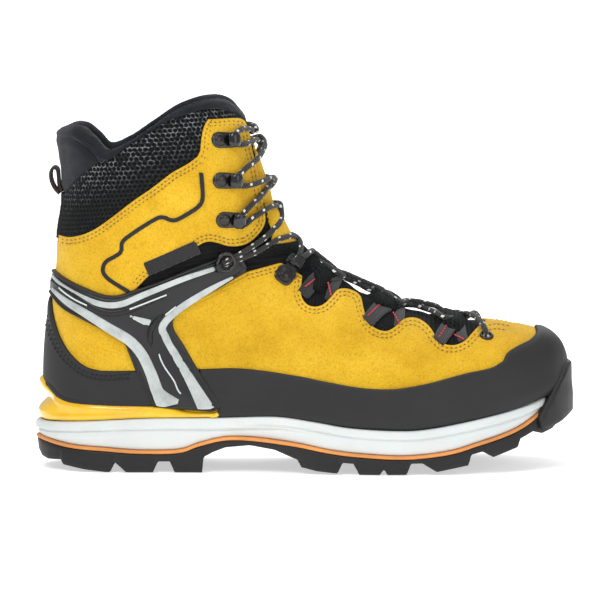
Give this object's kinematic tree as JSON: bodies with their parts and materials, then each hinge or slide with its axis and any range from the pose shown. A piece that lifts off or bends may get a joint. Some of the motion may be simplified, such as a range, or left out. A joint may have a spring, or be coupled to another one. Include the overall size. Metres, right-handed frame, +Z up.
{
  "type": "mountaineering boot",
  "caption": "Ankle-high mountaineering boot with lugged sole, rubber rand, heel frame with crampon ledge, moulded ankle brace, suede upper and padded collar.",
  "frame": {"origin": "middle of the heel tread on the ground plane, on the boot's centre line", "axes": "+X towards the toe, +Y towards the inner side of this right boot, +Z up"},
  "size_m": [0.3083, 0.1102, 0.21],
  "materials": {
    "suede": "mustard suede, fine nap",
    "rubber_black": "matt black rubber",
    "outsole_rubber": "matt black rubber",
    "midsole_white": "cool white foam, moulded",
    "stripe_orange": "orange rubber",
    "frame_yellow": "glossy yellow plastic",
    "brace_grey": "dark moulded plastic, satin",
    "inlay_silver": "silver film, satin",
    "mesh_black": "black mesh with grey points",
    "collar_fabric": "blue-black padded fabric",
    "flex_fabric": "black stretch fabric",
    "lining": "dark grey knitted lining",
    "lace": "black braided cord with white flecks",
    "webbing": "black webbing with red stitches",
    "metal_black": "glossy black enamel on steel",
    "steel": "plain steel",
    "board": "fibreglass-filled nylon board",
    "stiffener": "thermoformed stiffener",
    "footbed": "foam covered with grey fabric"
  },
  "bodies": {
    "foot": {"outsole": "outsole_rubber", "sole_stripe": "stripe_orange", "midsole": "midsole_white", "shank": "steel", "heel_frame": "frame_yellow", "insole_board": "board", "rand": "rubber_black", "heel_counter": "rubber_black", "ankle_brace": "brace_grey", "brace_inlays": "inlay_silver", "vamp": "suede", "quarter": "suede", "flex_panel": "flex_fabric", "tongue_lower": "mesh_black", "tongue_gusset": "flex_fabric", "toe_puff": "stiffener", "heel_stiffener": "stiffener", "lining_lower": "lining", "lock_plates": "metal_black", "lock_rivets": "metal_black", "toe_eyelets": "metal_black", "lace_loops": "webbing", "lace_lower": "lace", "guide_keepers": "brace_grey"},
    "shaft": {"cuff": "suede", "collar_mesh": "mesh_black", "collar_cover": "collar_fabric", "achilles_pad": "collar_fabric", "collar_padding": "collar_fabric", "lining_upper": "lining", "tongue_upper": "mesh_black", "lace_hooks": "metal_black", "hook_rivets": "metal_black", "lace_upper": "lace", "heel_strip": "webbing", "side_tab": "webbing"},
    "insole": {"footbed": "footbed"},
    "loop": {"pull_loop": "webbing"},
    "clamp_outer": {"lock_clamp_outer": "metal_black"},
    "clamp_inner": {"lock_clamp_inner": "metal_black"},
    "guide_outer": {"lace_guide_outer": "metal_black"},
    "guide_inner": {"lace_guide_inner": "metal_black"}
  },
  "joints": [
    {"name": "ankle_flex", "type": "hinge", "parent": "foot", "child": "shaft", "pos_m": [0.012, 0, 0.112], "axis": [0, 1, 0], "range_deg": [-4, 10]},
    {"name": "footbed_lift", "type": "hinge", "parent": "foot", "child": "insole", "pos_m": [0.2385, 0, 0.044], "axis": [0, 1, 0], "range_deg": [0, 4]},
    {"name": "pull_loop_swing", "type": "hinge", "parent": "shaft", "child": "loop", "pos_m": [-0.045, 0, 0.1566], "axis": [0, -1, 0], "range_deg": [0, 60]},
    {"name": "lock_clamp_tip_outer", "type": "hinge", "parent": "foot", "child": "clamp_outer", "pos_m": [0.09022, -0.01537, 0.11754], "axis": [-0.7417, 0.0627, 0.6678], "range_deg": [-35, 10]},
    {"name": "lock_clamp_tip_inner", "type": "hinge", "parent": "foot", "child": "clamp_inner", "pos_m": [0.09018, 0.01517, 0.11762], "axis": [0.7431, 0.0148, -0.6691], "range_deg": [-35, 10]},
    {"name": "lace_guide_swing_outer", "type": "hinge", "parent": "foot", "child": "guide_outer", "pos_m": [0.04639, -0.03323, 0.1166], "axis": [0.49, 0.199, -0.8487], "range_deg": [0, 40]},
    {"name": "lace_guide_swing_inner", "type": "hinge", "parent": "foot", "child": "guide_inner", "pos_m": [0.0464, 0.03392, 0.11657], "axis": [-0.487, 0.2262, 0.8436], "range_deg": [0, 40]}
  ]
}
